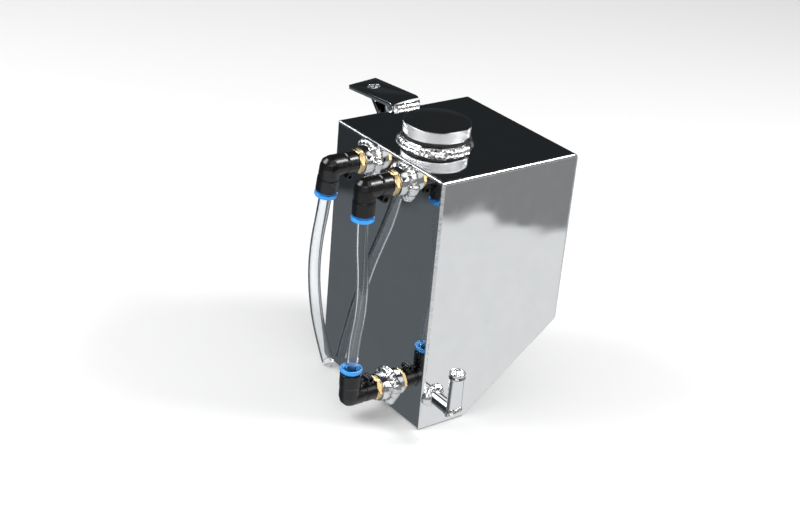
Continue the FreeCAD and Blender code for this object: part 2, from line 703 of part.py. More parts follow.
def make_tubes():
    stop = number("tube_stop") + number("tube_end_gap")
    bend = fitting_point("overflow", number("overflow_straight"))
    hang = tuple(bend + Vector(*point) for point in OVERFLOW_HANG)
    make_tube("overflow_tube", (fitting_point("overflow", stop), bend) + hang)

    straight = number("sight_straight")
    top = fitting_point("upper_sight", straight)
    bottom = fitting_point("lower_sight", straight)
    bow = Vector(number("sight_bow"), 0, 0)
    third = (top - bottom) / 3
    make_tube("sight_tube", (
        fitting_point("lower_sight", stop), bottom, bottom + third + bow,
        top - third + bow, top, fitting_point("upper_sight", stop)))


# --------------------------------------------------------------------- outlet

def make_outlet():
    """Stub and upright of the outlet pipe, mitred and welded."""
    half_space = (str(BLOCK), str(BLOCK), str(BLOCK))
    pipe_tool = str(BLOCK // 2)
    corner = at("tank_width + outlet_reach", "outlet_y", "outlet_z")
    along_x = at("-outlet_reach - wall - pipe_inner_length", 0, 0, (0, 1, 0), 90)
    stub_length = "outlet_reach + wall + pipe_inner_length + pipe_radius"
    mitre = at(axis=(0, 1, 0), angle=45)
    past_mitre = f"{mitre} * {at(-BLOCK / 2, -BLOCK / 2, 0)}"
    before_mitre = f"{mitre} * {at(-BLOCK / 2, -BLOCK / 2, -BLOCK)}"

    tube = turned("outlet_stub_tube", (
        ("pipe_bore_radius", "0"), ("pipe_radius", "0"), ("pipe_radius", stub_length),
        ("pipe_bore_radius", stub_length)))
    bind(tube, "Placement", along_x)
    stub = cut("outlet_stub_mitred", tube, box("past_mitre", half_space, past_mitre))
    upright = turned("outlet_upright_tube", (
        ("pipe_bore_radius", "-pipe_radius"), ("pipe_radius", "-pipe_radius"),
        ("pipe_radius", "outlet_height - bead_height - (bead_radius - pipe_radius)"),
        ("bead_radius", "outlet_height - bead_height"),
        ("bead_radius", "outlet_height - bead_chamfer"),
        ("bead_radius - bead_chamfer", "outlet_height"), ("pipe_bore_radius", "outlet_height")))
    riser = cut("outlet_upright_mitred", upright, box("before_mitre", half_space, before_mitre))

    swollen = "pipe_radius + mitre_weld_height"
    slab = box("mitre_slab", (str(BLOCK), str(BLOCK), "mitre_weld_width"),
               f"{mitre} * {at(-BLOCK / 2, -BLOCK / 2, '-mitre_weld_width / 2')}")
    bead = common("mitre_bead_outside", [
        fuse("swollen_pipe", [
            cylinder("swollen_stub", swollen, pipe_tool,
                     at(-BLOCK / 2, axis=(0, 1, 0), angle=90)),
            cylinder("swollen_upright", swollen, pipe_tool),
            swollen_corner(swollen)]), slab])
    pipes = fuse("pipes", [
        cut("solid_stub", cylinder("long_stub", "pipe_radius", pipe_tool,
                                   at(-BLOCK / 4, axis=(0, 1, 0), angle=90)),
            box("past_mitre_again", half_space, past_mitre)),
        cut("solid_upright",
            cylinder("long_upright", "pipe_radius", pipe_tool, at(z=-BLOCK / 4)),
            box("before_mitre_again", half_space, before_mitre))])
    weld = cut("outlet_mitre_bead", bead, pipes)

    root = weld_ring("outlet_base_weld", "pipe_radius", "outlet_weld_leg")
    for thing, label in ((stub, "outlet_stub"), (riser, "outlet_upright"),
                         (weld, "outlet_mitre_weld")):
        place(thing, corner)
        keep(thing, label)
    place(root, at("tank_width", "outlet_y", "outlet_z", (0, 1, 0), 90))
    keep(root, "outlet_base_weld")


def swollen_corner(radius):
    ball = doc.addObject("Part::Sphere", "swollen_corner")
    bind(ball, "Radius", radius)
    return ball


# -------------------------------------------------------------------- bracket

def make_bracket():
    """Plate bent down at the tank, its brace and their welds.

    Drawn with the plate level and the hole at the origin, then turned so that
    the flange is upright against the tank's side.
    """
    lean_x, lean_z = "sin(bracket_droop)", "cos(bracket_droop)"
    half = "bracket_thickness / 2"

    def down_side(distance):
        """A point on the tank's side, a distance below the bracket's top."""
        return (f"bracket_reach - ({distance}) * {lean_x}", f"{half} - ({distance}) * {lean_z}")

    foot_x, foot_z = down_side("bracket_flange")
    inner_x = f"bracket_reach - bracket_thickness * (1 / {lean_z} + tan(bracket_droop))"
    bracket = plate("bent_bracket", "XZ_Plane", (
        ("-bracket_end", f"-{half}"), (inner_x, f"-{half}"),
        (f"{foot_x} - bracket_thickness * {lean_z}", f"{foot_z} + bracket_thickness * {lean_x}"),
        (foot_x, foot_z), ("bracket_reach", half), ("-bracket_end", half)), "bracket_width")
    round_edges(bracket, "bracket_inner_bend", "bracket_bend",
                lambda edge: runs_along(edge, "y")
                and same(edge.CenterOfMass.x, number(inner_x))
                and same(edge.CenterOfMass.z, -number(half)))
    round_edges(bracket, "bracket_outer_bend", "bracket_bend + bracket_thickness",
                lambda edge: runs_along(edge, "y")
                and same(edge.CenterOfMass.x, number("bracket_reach"))
                and same(edge.CenterOfMass.z, number(half)))
    hole = cylinder("bracket_hole", "bracket_hole_radius", "3 * bracket_thickness",
                    at(0, "-bracket_width / 2", "-1.5 * bracket_thickness"))
    bored = cut("bracket_bored", bracket, hole)

    angle = "atan((brace_drop - bracket_thickness) / brace_run)"
    start = "bracket_reach - brace_run"
    low = down_side("brace_drop")
    high = down_side(f"brace_drop - brace_thickness / cos({angle})")
    brace = plate("bracket_brace", "XZ_Plane", (
        (start, f"-{half}"), low, high,
        (f"{start} + brace_thickness / sin({angle})", f"-{half}")),
        "bracket_width - 2 * brace_inset")

    corner_x = f"{start} + brace_thickness / sin({angle})"
    upper = plate("brace_upper_weld", "XZ_Plane", (
        (corner_x, f"-{half}"),
        (f"{corner_x} + brace_weld_leg * cos({angle})",
         f"-{half} - brace_weld_leg * sin({angle})"),
        (f"{corner_x} + brace_weld_leg", f"-{half}")), "bracket_width - 2 * brace_inset")
    past_low = down_side("brace_drop + brace_weld_leg")
    lower = plate("brace_lower_weld", "XZ_Plane", (
        low, (f"{low[0]} - brace_weld_leg * cos({angle})",
              f"{low[1]} + brace_weld_leg * sin({angle})"), past_low),
        "bracket_width - 2 * brace_inset")

    turn = f"placement(vector(0; 0; 0); {BRACKET_TURN})"
    for thing, label, width in (
            (bored, "mounting_bracket", "bracket_width"),
            (brace, "bracket_brace", "bracket_width - 2 * brace_inset"),
            (upper, "brace_upper_weld", "bracket_width - 2 * brace_inset"),
            (lower, "brace_lower_weld", "bracket_width - 2 * brace_inset")):
        bind(thing, "Placement", f"{turn} * {at(y=f'({width}) / 2')}")
        keep(thing, label)

    weld = plate("bracket_weld", "XZ_Plane", (
        ("0", "0"), ("bracket_weld_leg", "0"),
        ("bracket_weld_leg * weld_shoulder_out", "bracket_weld_leg * weld_shoulder_up"),
        ("0", "bracket_weld_leg")), "bracket_width - 2 * weld_inset")
    place(weld, at(0, "bracket_y + bracket_width / 2 - weld_inset", "tank_height"))
    keep(weld, "bracket_weld")


# ------------------------------------------------------------------ the whole

make_wrap()
make_front()
make_side("right", "tank_width - wall", "wall")
make_side("left", "0", "0")
make_front_seams()
make_filler()
make_fittings()
make_tubes()
make_outlet()
make_bracket()
doc.recompute()

for thing in doc.Objects:
    if "Invalid" in thing.State or "Error" in thing.State:
        raise RuntimeError(f"{thing.Name} failed: {thing.State}")
labels = [thing.Label for thing in nodes]
if len(set(labels)) != len(labels):
    raise RuntimeError("two sub-parts share a name")
os.makedirs("parts", exist_ok=True)
for thing in nodes:
    shape = thing.Shape
    if shape.isNull() or not shape.isValid() or not shape.Solids:
        raise RuntimeError(f"{thing.Label} has no valid solid")
    shape.exportStep(f"parts/{thing.Label}.step")
print(f"{len(nodes)} sub-parts written")
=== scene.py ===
"""Looks of a polished, welded aluminium fluid reservoir. Metres, in the row's frame."""
import json
import math
import random

import bmesh
import bpy
from mathutils import Matrix, Vector, noise

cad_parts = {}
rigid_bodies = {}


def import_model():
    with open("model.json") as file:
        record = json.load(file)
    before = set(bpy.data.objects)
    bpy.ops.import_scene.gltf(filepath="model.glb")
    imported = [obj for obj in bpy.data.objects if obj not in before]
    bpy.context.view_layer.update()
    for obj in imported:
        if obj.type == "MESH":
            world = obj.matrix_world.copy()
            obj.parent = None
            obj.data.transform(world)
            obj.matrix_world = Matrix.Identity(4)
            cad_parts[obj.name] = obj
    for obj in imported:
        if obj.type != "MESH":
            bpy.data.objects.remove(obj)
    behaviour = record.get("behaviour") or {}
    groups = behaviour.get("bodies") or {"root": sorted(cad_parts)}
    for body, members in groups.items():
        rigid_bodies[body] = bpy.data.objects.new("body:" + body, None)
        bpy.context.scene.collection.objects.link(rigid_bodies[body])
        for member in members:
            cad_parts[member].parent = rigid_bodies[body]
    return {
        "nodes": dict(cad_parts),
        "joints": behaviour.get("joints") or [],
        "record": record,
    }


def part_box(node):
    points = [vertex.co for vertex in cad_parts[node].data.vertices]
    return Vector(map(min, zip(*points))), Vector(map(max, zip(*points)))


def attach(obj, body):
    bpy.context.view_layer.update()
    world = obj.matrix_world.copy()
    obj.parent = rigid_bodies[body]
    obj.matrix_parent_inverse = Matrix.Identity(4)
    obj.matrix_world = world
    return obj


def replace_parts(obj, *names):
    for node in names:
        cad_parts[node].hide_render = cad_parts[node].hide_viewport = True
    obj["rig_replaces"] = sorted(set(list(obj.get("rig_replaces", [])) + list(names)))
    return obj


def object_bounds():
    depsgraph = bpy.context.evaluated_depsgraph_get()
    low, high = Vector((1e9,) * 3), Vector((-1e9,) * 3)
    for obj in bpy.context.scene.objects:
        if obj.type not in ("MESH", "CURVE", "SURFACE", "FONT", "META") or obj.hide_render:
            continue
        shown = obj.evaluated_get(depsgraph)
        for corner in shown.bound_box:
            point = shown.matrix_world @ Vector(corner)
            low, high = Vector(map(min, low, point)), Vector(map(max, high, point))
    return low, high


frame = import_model()
cad_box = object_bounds()

MM = 0.001
UP = Vector((0, 0, 1))
FRONT = Vector((0, -1, 0))
RIGHT = Vector((1, 0, 0))
FITTINGS = ("overflow", "upper_sight", "lower_sight")
BODY_OF = {node: body for body, members in frame["record"]["behaviour"]["bodies"].items()
           for node in members}
SLOT_OF = {part["node"]: part["material_slot"] for part in frame["record"]["subparts"]}
JOINTS = {joint["name"]: joint for joint in frame["joints"]}

# The tank's corners, from its side seams: front left bottom and back right top.
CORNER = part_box("left_seam_weld")[0]
FAR_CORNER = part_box("right_seam_weld")[1]


def middle(node):
    low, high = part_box(node)
    return (low + high) / 2


# ------------------------------------------------------------------ materials

def new_material(name):
    """An empty node material and its shader."""
    material = bpy.data.materials.new(name)
    material.use_nodes = True
    return material, material.node_tree.nodes["Principled BSDF"]


def add(tree, kind, inputs=None, **settings):
    """A node with its settings and inputs, which are values or other sockets."""
    node = tree.nodes.new(kind)
    for key, value in settings.items():
        setattr(node, key, value)
    for key, value in (inputs or {}).items():
        if isinstance(value, bpy.types.NodeSocket):
            tree.links.new(value, node.inputs[key])
        else:
            node.inputs[key].default_value = value
    return node


def softened(tree, value, start, end):
    """0 below start, 1 above end, smooth between."""
    return add(tree, "ShaderNodeMapRange", {"Value": value, "From Min": start, "From Max": end},
               interpolation_type="SMOOTHSTEP").outputs["Result"]


def calculate(tree, operation, first, second=0.0):
    node = tree.nodes.new("ShaderNodeMath")
    node.operation = operation
    for socket, value in zip(node.inputs, (first, second)):
        if isinstance(value, bpy.types.NodeSocket):
            tree.links.new(value, socket)
        else:
            socket.default_value = value
    return node.outputs[0]


def mixed(tree, share, first, second):
    """first where share is 0, second where it is 1."""
    node = add(tree, "ShaderNodeMix", data_type="FLOAT")
    for key, value in (("Factor", share), ("A", first), ("B", second)):
        if isinstance(value, bpy.types.NodeSocket):
            tree.links.new(value, node.inputs[key])
        else:
            node.inputs[key].default_value = value
    return node.outputs["Result"]


def place_vector(tree, scale=(1, 1, 1), rotation=(0, 0, 0)):
    """The point's place in the row's frame, stretched and turned."""
    place = add(tree, "ShaderNodeTexCoord")
    mapping = add(tree, "ShaderNodeMapping",
                  {"Vector": place.outputs["Object"], "Scale": scale, "Rotation": rotation})
    return mapping.outputs["Vector"]


def speckle(tree, size, detail=3, stretch=(1, 1, 1), rotation=(0, 0, 0)):
    """Noise of about a size in metres, from 0 to 1."""
    where = place_vector(tree, stretch, rotation)
    return add(tree, "ShaderNodeTexNoise",
               {"Vector": where, "Scale": 1 / size, "Detail": detail}).outputs["Fac"]


def spread(tree, value, low, high, start=0.3, end=0.7):
    """A value brought from start..end to low..high."""
    node = add(tree, "ShaderNodeMapRange", {"Value": value, "From Min": start, "From Max": end,
                                            "To Min": low, "To Max": high})
    return node.outputs["Result"]


def tint(tree, value, first, second):
    """A colour between two, by a value."""
    node = add(tree, "ShaderNodeMix", data_type="RGBA")
    tree.links.new(value, node.inputs["Factor"])
    node.inputs["A"].default_value = (*first, 1)
    node.inputs["B"].default_value = (*second, 1)
    return node.outputs["Result"]


def bump(tree, shader, layers):
    """Stacks bumps on a shader: (height socket, distance in metres, strength)."""
    normal = None
    for height, distance, strength in layers:
        inputs = {"Height": height, "Distance": distance, "Strength": strength}
        if normal is not None:
            inputs["Normal"] = normal
        normal = add(tree, "ShaderNodeBump", inputs).outputs["Normal"]
    tree.links.new(normal, shader.inputs["Normal"])


def metal(name, dark, light, rough, layers, grain=0.004, stretch=(1, 1, 1)):
    """A metal with patches of colour and roughness, and bumps."""
    material, shader = new_material(name)
    tree = material.node_tree
    shader.inputs["Metallic"].default_value = 1
    patches = speckle(tree, grain, 4, stretch)
    tree.links.new(tint(tree, patches, dark, light), shader.inputs["Base Color"])
    tree.links.new(spread(tree, patches, *rough), shader.inputs["Roughness"])
    bump(tree, shader, [(speckle(tree, size, detail, along), distance, strength)
                        for size, detail, along, distance, strength in layers])
    return material


def polished_aluminium():
    """Mirror polish, with faint polishing haze, fine scratches and a little buffing swirl."""
    return metal("polished_aluminium", (0.80, 0.81, 0.82), (0.89, 0.90, 0.91), (0.02, 0.055), (
        (0.045, 1, (1, 1, 1), 0.00026, 1.0),
        (0.0008, 3, (1, 1, 0.3), 0.000001, 0.2)), grain=0.012)


def dressed_weld():
    """A weld ground and polished flush, with what is left of its ripples."""
    return metal("dressed_weld", (0.84, 0.84, 0.84), (0.94, 0.94, 0.94), (0.15, 0.30), (
        (0.0028, 2, (1, 1, 1), 0.0002, 0.5),
        (0.0006, 2, (1, 1, 1), 0.00003, 0.3)), grain=0.003)


def raw_weld():
    """A weld bead as it was laid: random patches from grey soot to bright metal."""
    return metal("raw_weld", (0.74, 0.73, 0.72), (0.95, 0.95, 0.94), (0.16, 0.36), (
        (0.0012, 4, (1, 1, 1), 0.00012, 0.6),), grain=0.0018)


def turned_aluminium():
    """Machined and polished, with fine tool marks."""
    return metal("turned_aluminium", (0.80, 0.80, 0.81), (0.90, 0.90, 0.91), (0.07, 0.16), (
        (0.0007, 2, (1, 1, 3), 0.000015, 0.4),), grain=0.005)


def brass():
    return metal("brass", (0.56, 0.37, 0.15), (0.88, 0.70, 0.38), (0.16, 0.30), (
        (0.0009, 3, (1, 3, 1), 0.00002, 0.4),), grain=0.003)


def stainless_steel():
    return metal("stainless_steel", (0.55, 0.55, 0.56), (0.68, 0.68, 0.69), (0.2, 0.3), (
        (0.0006, 2, (1, 1, 6), 0.00001, 0.3),))


def plastic(name, dark, light, rough, coat, texture, texture_depth):
    """A moulded plastic with a fine mould texture."""
    material, shader = new_material(name)
    tree = material.node_tree
    patches = speckle(tree, 0.005, 3)
    tree.links.new(tint(tree, patches, dark, light), shader.inputs["Base Color"])
    tree.links.new(spread(tree, patches, *rough), shader.inputs["Roughness"])
    shader.inputs["Coat Weight"].default_value = coat
    shader.inputs["Coat Roughness"].default_value = 0.12
    bump(tree, shader, [(speckle(tree, texture, 3), texture_depth, 0.4)])
    return material


def black_plastic():
    return plastic("black_plastic", (0.003, 0.003, 0.0035), (0.008, 0.008, 0.009),
                   (0.20, 0.30), 0.1, 0.0006, 0.00002)


def blue_plastic():
    return plastic("blue_plastic", (0.018, 0.27, 0.82), (0.045, 0.40, 0.94),
                   (0.18, 0.30), 0.4, 0.0010, 0.00003)


def rubber():
    return plastic("rubber", (0.008, 0.008, 0.008), (0.02, 0.02, 0.02),
                   (0.5, 0.7), 0.0, 0.0005, 0.00003)


def clear_tube():
    """Clear polyurethane, a little hazy."""
    material, shader = new_material("clear_tube")
    tree = material.node_tree
    shader.inputs["Base Color"].default_value = (0.93, 0.95, 0.96, 1)
    shader.inputs["Transmission Weight"].default_value = 1
    shader.inputs["IOR"].default_value = 1.46
    haze = speckle(tree, 0.006, 3, (1, 1, 0.3))
    tree.links.new(spread(tree, haze, 0.004, 0.02), shader.inputs["Roughness"])
    bump(tree, shader, [(speckle(tree, 0.004, 2, (1, 1, 0.15)), 0.00004, 0.12)])
    return material


MATERIALS = {maker.__name__: maker() for maker in (
    polished_aluminium, dressed_weld, raw_weld, turned_aluminium, brass, stainless_steel,
    black_plastic, blue_plastic, rubber, clear_tube)}


# -------------------------------------------------------------- mesh building

def finish_piece(piece, slot, body, replaced=(), sharp=35):
    """Gives a piece its material, its body and the nodes that it stands for."""
    piece.data.materials.clear()
    piece.data.materials.append(MATERIALS[slot])
    if piece.type == "MESH":
        piece.data.polygons.foreach_set("use_smooth", [True] * len(piece.data.polygons))
        piece.data.set_sharp_from_angle(angle=math.radians(sharp))
    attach(piece, body)
    if replaced:
        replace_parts(piece, *replaced)
    return piece


def stand_in(node, piece, sharp=35):
    """A modelled piece that takes the place of one CAD node."""
    return finish_piece(piece, SLOT_OF[node], BODY_OF[node], [node], sharp)


def mesh_object(name, points, faces):
    mesh = bpy.data.meshes.new(name)
    mesh.from_pydata([tuple(point) for point in points], [], faces)
    mesh.validate()
    build = bmesh.new()
    build.from_mesh(mesh)
    bmesh.ops.recalc_face_normals(build, faces=build.faces)
    build.to_mesh(mesh)
    build.free()
    piece = bpy.data.objects.new(name, mesh)
    bpy.context.scene.collection.objects.link(piece)
    return piece


def loft(name, rings, closed_path=False, capped=False):
    """A skin over rings of points, each ring closed and of the same count."""
    count = len(rings[0])
    points = [point for ring in rings for point in ring]
    faces = []
    last = len(rings) if closed_path else len(rings) - 1
    for row in range(last):
        here, there = row * count, (row + 1) % len(rings) * count
        for index in range(count):
            following = (index + 1) % count
            faces.append((here + index, here + following, there + following, there + index))
    if capped:
        faces.append(tuple(range(count))[::-1])
        faces.append(tuple(range((len(rings) - 1) * count, len(rings) * count)))
    return mesh_object(name, points, faces)


def axes(foot, direction):
    """A matrix whose Z runs from foot along a direction."""
    matrix = direction.to_track_quat("Z", "Y").to_matrix().to_4x4()
    matrix.translation = foot
    return matrix


def revolve(name, profile, matrix, steps=96, shape=None):
    """Turns a closed profile of (radius, height) in metres about a matrix's Z.

    shape(radius, height, angle) may return another radius.
    """
    rings = []
    for step in range(steps):
        angle = 2 * math.pi * step / steps
        ring = []
        for radius, height in profile:
            if shape:
                radius = shape(radius, height, angle)
            ring.append(matrix @ Vector((radius * math.cos(angle), radius * math.sin(angle),
                                         height)))
        rings.append(ring)
    return loft(name, rings, closed_path=True)


def arc(centre, radius, start, end, count):
    """Points of (radius, height) round part of a circle, angles in degrees."""
    for step in range(count + 1):
        angle = math.radians(start + (end - start) * step / count)
        yield centre[0] + radius * math.cos(angle), centre[1] + radius * math.sin(angle)


def bevelled_copy(node, width, segments=2, angle=30):
    """The node's own shape with its sharp edges rounded a little."""
    source = frame["nodes"][node]
    mesh = source.data.copy()
    build = bmesh.new()
    build.from_mesh(mesh)
    bmesh.ops.remove_doubles(build, verts=build.verts, dist=2e-6)
    bmesh.ops.dissolve_limit(build, angle_limit=math.radians(1), verts=build.verts,
                             edges=build.edges)
    sharp = [edge for edge in build.edges if edge.is_manifold
             and edge.calc_face_angle(0) > math.radians(angle)]
    bmesh.ops.bevel(build, geom=sharp, offset=width, segments=segments, profile=0.5,
                    affect="EDGES", clamp_overlap=True)
    build.to_mesh(mesh)
    build.free()
    mesh.name = "rounded_" + node
    piece = bpy.data.objects.new("rounded_" + node, mesh)
    bpy.context.scene.collection.objects.link(piece)
    return stand_in(node, piece)


def bead(name, corners, first, second, leg, pitch, lump, seed, closed=True):
    """A weld bead along corners, between the directions first and second.

    first and second are lists of unit directions, one for each corner, in which
    the bead stands out from the corner by its leg. The scales overlap like
    shingles, each one curved, and the leg swells and shrinks by lump.
    """
    picker = random.Random(seed)
    shift = picker.uniform(0, 50)
    section = 9
    rings, run = [], 0.0
    for index, corner in enumerate(corners):
        if index:
            run += (corner - corners[index - 1]).length
        swell = 1 + lump * noise.noise(Vector((run / (pitch * 2.4), shift, 0)))
        ring = [corner - (first[index] + second[index]) * leg * 0.15]
        for step in range(section + 1):
            turn = step / section * math.pi / 2
            crescent = math.sin(2 * turn) * 0.42
            scale_phase = (run / pitch + crescent) % 1.0
            ripple = 0.10 * (scale_phase ** 0.6) - 0.05
            rough = 0.10 * noise.noise(Vector((run / (pitch * 0.7), turn * 2, shift)))
            size = leg * (swell + ripple + rough)
            if step in (0, section):
                size = leg * (swell + rough) * 1.02
            ring.append(corner + (first[index] * math.cos(turn)
                                  + second[index] * math.sin(turn)) * size)
        rings.append(ring)
    return loft(name, rings, closed_path=closed, capped=not closed)


def ring_bead(name, centre, axis, radius, leg, pitch, lump, seed, count=260):
    """A weld bead round a cylinder that stands on a plane."""
    matrix = axes(centre, axis)
    outwards = [(matrix.to_3x3() @ Vector((math.cos(turn), math.sin(turn), 0)))
                for turn in (2 * math.pi * step / count for step in range(count))]
    corners = [centre + out * radius for out in outwards]
    return bead(name, corners, outwards, [axis] * count, leg, pitch, lump, seed)


# -------------------------------------------------------------- filler and cap

def zigzag(value):
    """A triangle wave from 0 to 1 and back over each whole number."""
    return 1 - abs((value % 1.0) * 2 - 1)


def make_cap():
    """Knurled rim with chamfered edges, low smooth dome and a threaded spigot."""
    low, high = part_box("filler_cap")
    gasket_low, gasket_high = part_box("cap_gasket")
    centre = Vector((middle("filler_cap").x, middle("filler_cap").y, low.z))
    matrix = axes(centre, UP)
    outer = (high.x - low.x) / 2
    shoulder = gasket_high.z - low.z
    top = high.z - low.z
    rim = 8.0 * MM
    rim_top = shoulder + rim
    chamfer = 0.55 * MM
    spigot = 17.2 * MM
    thread_pitch = 3.0 * MM
    knurls = 72
    knurl_depth = 0.6 * MM
    rows = 34

    profile = [(0.0001, rim_top - 4 * MM), (14 * MM, rim_top - 4 * MM), (14 * MM, 0.4 * MM),
               (14.4 * MM, 0), (spigot - 0.8 * MM, 0)]
    thread_rows = 40
    for row in range(thread_rows + 1):
        profile.append((spigot, (0.8 + (shoulder / MM - 1.6) * row / thread_rows) * MM))
    profile += [(spigot, shoulder), (outer - chamfer * 1.6, shoulder)]
    for row in range(rows + 1):
        profile.append((outer, shoulder + chamfer + (rim - 2 * chamfer) * row / rows))
    dome = [(outer - chamfer, rim_top - 0.1 * MM), (outer - 1.1 * MM, rim_top + 0.15 * MM)]
    for step in range(1, 13):
        share = step / 13
        dome.append(((outer - 1.1 * MM) * (1 - share),
                     rim_top + 0.15 * MM + (top - rim_top - 0.15 * MM) * (1 - (1 - share) ** 2.2)))
    profile += dome + [(0.0001, top)]

    def shape(radius, height, angle):
        if radius == outer:
            along = angle / (2 * math.pi) * knurls
            across = (height - shoulder) / (2 * math.pi * outer / knurls)
            groove = min(zigzag(along + across), zigzag(along - across))
            fade = min(1, (height - shoulder - chamfer * 0.9) / (0.4 * MM),
                       (rim_top - chamfer * 0.9 - height) / (0.4 * MM))
            return outer - knurl_depth * (1 - min(1, groove * 1.7)) * max(0, fade)
        if radius == spigot:
            return radius - 0.55 * MM * zigzag(height / thread_pitch - angle / (2 * math.pi))
        return radius

    piece = revolve("knurled_cap", profile, matrix, knurls * 6, shape)
    return stand_in("filler_cap", piece, sharp=50)


def make_gasket():
    low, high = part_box("cap_gasket")
    height = high.z - low.z
    outer = (high.x - low.x) / 2
    inner = 17.8 * MM
    soft = 0.7 * MM
    profile = [(inner, 0), *arc((outer - soft, soft), soft, -90, 0, 4),
               *arc((outer - soft, height - soft), soft, 0, 90, 4), (inner, height)]
    centre = Vector((middle("cap_gasket").x, middle("cap_gasket").y, low.z))
    stand_in("cap_gasket", revolve("rolled_gasket", profile, axes(centre, UP)), sharp=60)


def make_neck():
    """Neck with a chamfered mouth and an inner thread, and its rough weld."""
    low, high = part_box("filler_neck")
    centre = Vector((middle("filler_neck").x, middle("filler_neck").y, low.z))
    outer, bore, height = (high.x - low.x) / 2, 17.45 * MM, high.z - low.z
    chamfer = 0.5 * MM
    thread_pitch = 3.0 * MM
    rows = 30
    profile = [(outer, 0), (outer, height - chamfer), (outer - chamfer, height),
               (bore + chamfer, height)]
    for row in range(rows + 1):
        profile.append((bore, height - chamfer - (height - chamfer) * row / rows))

    def shape(radius, level, angle):
        if radius == bore:
            return radius + 0.5 * MM * zigzag(level / thread_pitch - angle / (2 * math.pi))
        return radius

    stand_in("filler_neck", revolve("threaded_neck", profile, axes(centre, UP), 120, shape))

    weld_low, weld_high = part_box("filler_neck_weld")
    foot = Vector((centre.x, centre.y, weld_low.z))
    leg = weld_high.z - weld_low.z
    weld = ring_bead("neck_bead", foot, UP, outer, leg, 2.6 * MM, 0.42, 11, 520)
    stand_in("filler_neck_weld", weld, sharp=60)


# ------------------------------------------------------------------- fittings

def leg_direction(prefix):
    """The way an elbow's leg runs, from its barrel to its mouth."""
    press = Vector(JOINTS[f"{prefix}_collar_press"]["axis"])
    return -press.normalized()


def barrel_foot(prefix):
    """Where a fitting's axis meets the tank's front."""
    bung = middle(f"{prefix}_bung")
    return Vector((bung.x, CORNER.y, bung.z))


def barrel_start(prefix):
    """From the tank's front to the start of an elbow's barrel."""
    return CORNER.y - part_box(f"{prefix}_elbow")[1].y


ELBOW_REACH = CORNER.y - middle("upper_sight_collar").y
HEX_GAP = 0.3 * MM          # between a hexagon and its elbow
WELD_SWELL = 1.25           # a rough bead against the plain fillet of the model


def make_bung(prefix, seed):
    low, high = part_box(f"{prefix}_bung")
    foot = barrel_foot(prefix)
    proud = CORNER.y - low.y
    behind = high.y - CORNER.y
    outer = (high.x - low.x) / 2
    bore, spigot, chamfer = 4.95 * MM, 7.0 * MM, 0.6 * MM
    profile = [(bore, -behind), (spigot, -behind), (spigot, 0), (outer, 0),
               (outer, proud - chamfer), (outer - chamfer * 0.3, proud - chamfer * 0.3),
               (outer - chamfer, proud), (bore + 0.5 * MM, proud), (bore, proud - 0.5 * MM)]
    stand_in(f"{prefix}_bung", revolve(f"{prefix}_turned_bung", profile, axes(foot, FRONT)))

    weld_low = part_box(f"{prefix}_bung_weld")[0]
    leg = (CORNER.y - weld_low.y) * WELD_SWELL
    weld = ring_bead(f"{prefix}_bung_bead", foot, FRONT, outer, leg, 2.3 * MM, 0.5, seed, 300)
    for vertex in weld.data.vertices:
        vertex.co.z = min(vertex.co.z, FAR_CORNER.z - 0.2 * MM)
    stand_in(f"{prefix}_bung_weld", weld, sharp=60)


def make_stem(prefix):
    """Brass stem whose hexagon has chamfered corners."""
    low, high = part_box(f"{prefix}_stem")
    bung_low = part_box(f"{prefix}_bung")[0]
    foot = barrel_foot(prefix)
    flats = 14.0 * MM
    corner = flats / 2 / math.cos(math.radians(30))
    start = CORNER.y - bung_low.y
    end = barrel_start(prefix) - HEX_GAP
    back, tip = CORNER.y - high.y, CORNER.y - low.y
    bore, thread, spigot, chamfer = 2.4 * MM, 4.86 * MM, 4.6 * MM, 1.1 * MM
    hexagon = [(corner, start + chamfer * share) for share in (0, 0.35, 0.7, 1)]
    hexagon += [(corner, end - chamfer * share) for share in (1, 0.7, 0.35, 0)]
    profile = [(bore, back), (thread - 0.4 * MM, back), (thread, back + 0.5 * MM),
               (thread, start), (flats / 2 - 0.6 * MM, start), *hexagon,
               (flats / 2 - 0.6 * MM, end), (spigot, end), (spigot, tip), (bore, tip)]

    def shape(radius, height, angle):
        if radius != corner:
            return radius
        flat = flats / 2 / math.cos((angle % math.radians(60)) - math.radians(30))
        depth = min(height - start, end - height)
        return min(flat, flats / 2 - 0.25 * MM + depth * math.tan(math.radians(60)))

    matrix = axes(foot, FRONT)
    piece = revolve(f"{prefix}_turned_stem", profile, matrix, 120, shape)
    stand_in(f"{prefix}_stem", piece, sharp=18)


def join_shapes(name, shapes, voxel, smoothing):
    """One skin round overlapping shapes, with its inside corners filleted."""
    bpy.ops.object.select_all(action="DESELECT")
    for shape in shapes:
        shape.select_set(True)
    bpy.context.view_layer.objects.active = shapes[0]
    bpy.ops.object.join()
    piece = shapes[0]
    piece.name = piece.data.name = name
    remesh = piece.modifiers.new("skin", "REMESH")
    remesh.mode = "VOXEL"
    remesh.voxel_size = voxel
    smooth = piece.modifiers.new("fillets", "SMOOTH")
    smooth.factor = 0.5
    smooth.iterations = smoothing
    settle(piece)
    return piece


def settle(piece):
    """Turns a piece's modifiers into plain mesh."""
    depsgraph = bpy.context.evaluated_depsgraph_get()
    mesh = bpy.data.meshes.new_from_object(piece.evaluated_get(depsgraph))
    piece.modifiers.clear()
    piece.data = mesh
    mesh.name = piece.name


def rod(name, foot, direction, radius, start, end, soft=0.5 * MM, steps=64):
    """A plain closed cylinder with rounded ends, from start to end along a direction."""
    profile = [(0.00001, start), *arc((radius - soft, start + soft), soft, -90, 0, 3),
               *arc((radius - soft, end - soft), soft, 0, 90, 3), (0.00001, end)]
    return revolve(name, profile, axes(foot, direction), steps)


